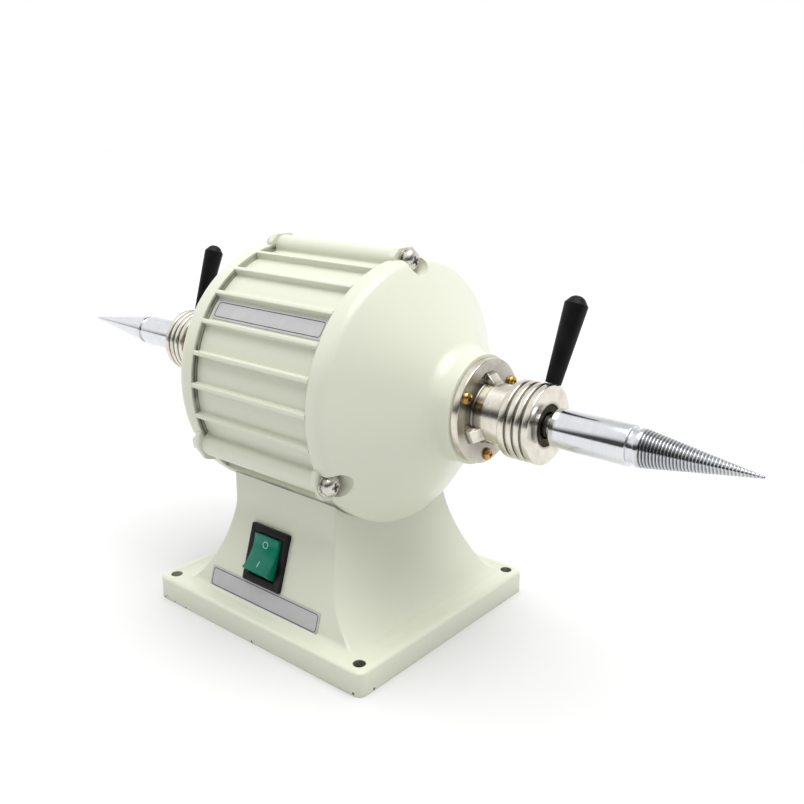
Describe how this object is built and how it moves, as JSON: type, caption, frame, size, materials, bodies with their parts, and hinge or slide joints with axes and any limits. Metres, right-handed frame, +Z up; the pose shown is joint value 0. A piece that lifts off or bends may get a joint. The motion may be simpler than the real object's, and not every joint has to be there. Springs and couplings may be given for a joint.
{
  "type": "dental polishing lathe",
  "caption": "Bench polishing lathe: a motor on a cast pedestal turns a tapered threaded spindle on one side and a smooth one on the other, each with a release lever.",
  "frame": {"origin": "centre of the base's four bolt holes, on the bench surface", "axes": "+X along the spindle axis towards the threaded spindle, -Y towards the switch, +Z up"},
  "size_m": [0.4132, 0.128, 0.1841],
  "materials": {
    "cream_paint": "satin cream enamel on cast aluminium",
    "plain_steel": "bare steel",
    "bearing_steel": "ground steel",
    "nickel_plate": "turned steel with warm nickel plate",
    "chrome_plate": "bright chrome plate",
    "brass": "plain brass",
    "cast_aluminium": "bare aluminium",
    "enamelled_wire": "varnished copper wire",
    "black_rubber": "soft rubber",
    "black_plastic": "moulded black plastic",
    "gloss_black": "glossy black plastic",
    "green_plastic": "translucent green plastic",
    "white_plastic": "moulded nylon",
    "red_insulation": "wire insulation",
    "blue_insulation": "wire insulation",
    "silver_label": "satin foil",
    "felt": "wool felt"
  },
  "bodies": {
    "stand": {"pedestal": "cream_paint", "base_cover": "plain_steel", "cover_screws": "plain_steel", "motor_housing": "cream_paint", "right_end_bell": "cream_paint", "left_end_bell": "cream_paint", "through_bolts": "nickel_plate", "flat_washers": "nickel_plate", "spring_washers": "nickel_plate", "bolt_nuts": "nickel_plate", "saddle_screws": "plain_steel", "stator_core": "plain_steel", "stator_windings": "enamelled_wire", "lead_grommet": "black_rubber", "motor_leads": "red_insulation", "right_outer_ring": "bearing_steel", "left_outer_ring": "bearing_steel", "preload_washer": "plain_steel", "right_seal": "felt", "left_seal": "felt", "right_flange_neck": "nickel_plate", "left_flange_neck": "nickel_plate", "flange_screws": "brass", "guide_pins": "plain_steel", "nameplate": "silver_label", "lower_label": "silver_label", "switch_frame": "gloss_black", "switch_terminals": "brass", "switch_clip": "gloss_black", "run_capacitor": "cast_aluminium", "capacitor_strap": "plain_steel", "terminal_block": "white_plastic", "supply_leads": "blue_insulation", "cable_gland": "black_plastic", "gland_nut": "black_plastic", "earth_screw": "brass"},
    "rotor": {"shaft": "bearing_steel", "rotor_core": "plain_steel", "rotor_end_rings": "cast_aluminium", "right_inner_ring": "bearing_steel", "left_inner_ring": "bearing_steel", "bearing_balls": "bearing_steel", "ball_cages": "brass"},
    "right_cone": {"right_spindle": "chrome_plate"},
    "left_cone": {"left_spindle": "chrome_plate"},
    "right_release": {"right_collar": "nickel_plate", "right_drive_pin": "plain_steel", "right_stud": "plain_steel", "right_lever": "black_plastic"},
    "left_release": {"left_collar": "nickel_plate", "left_drive_pin": "plain_steel", "left_stud": "plain_steel", "left_lever": "black_plastic"},
    "right_pusher": {"right_sleeve": "brass"},
    "left_pusher": {"left_sleeve": "brass"},
    "switch_rocker": {"rocker": "green_plastic"}
  },
  "joints": [
    {"name": "rotor_spin", "type": "hinge", "parent": "stand", "child": "rotor", "pos_m": [0, 0, 0.118], "axis": [1, 0, 0], "continuous": true},
    {"name": "right_cone_slide", "type": "slide", "parent": "rotor", "child": "right_cone", "axis": [1, 0, 0], "range_m": [0, 0.04]},
    {"name": "left_cone_slide", "type": "slide", "parent": "rotor", "child": "left_cone", "axis": [-1, 0, 0], "range_m": [0, 0.04]},
    {"name": "right_lever_turn", "type": "hinge", "parent": "stand", "child": "right_release", "pos_m": [0.1095, 0, 0.118], "axis": [1, 0, 0], "range_deg": [0, 75]},
    {"name": "left_lever_turn", "type": "hinge", "parent": "stand", "child": "left_release", "pos_m": [-0.1095, 0, 0.118], "axis": [1, 0, 0], "range_deg": [0, 75]},
    {"name": "right_sleeve_slide", "type": "slide", "parent": "stand", "child": "right_pusher", "axis": [1, 0, 0], "range_m": [0, 0.0044]},
    {"name": "left_sleeve_slide", "type": "slide", "parent": "stand", "child": "left_pusher", "axis": [-1, 0, 0], "range_m": [0, 0.0044]},
    {"name": "rocker_tilt", "type": "hinge", "parent": "stand", "child": "switch_rocker", "pos_m": [-0.0054, -0.04562, 0.036], "axis": [1, 0, 0], "range_deg": [0, 30]}
  ],
  "couplings": [
    {"joint": "right_sleeve_slide", "follows": "right_lever_turn", "m_per_rad": 0.0033613},
    {"joint": "left_sleeve_slide", "follows": "left_lever_turn", "m_per_rad": 0.0033613}
  ]
}
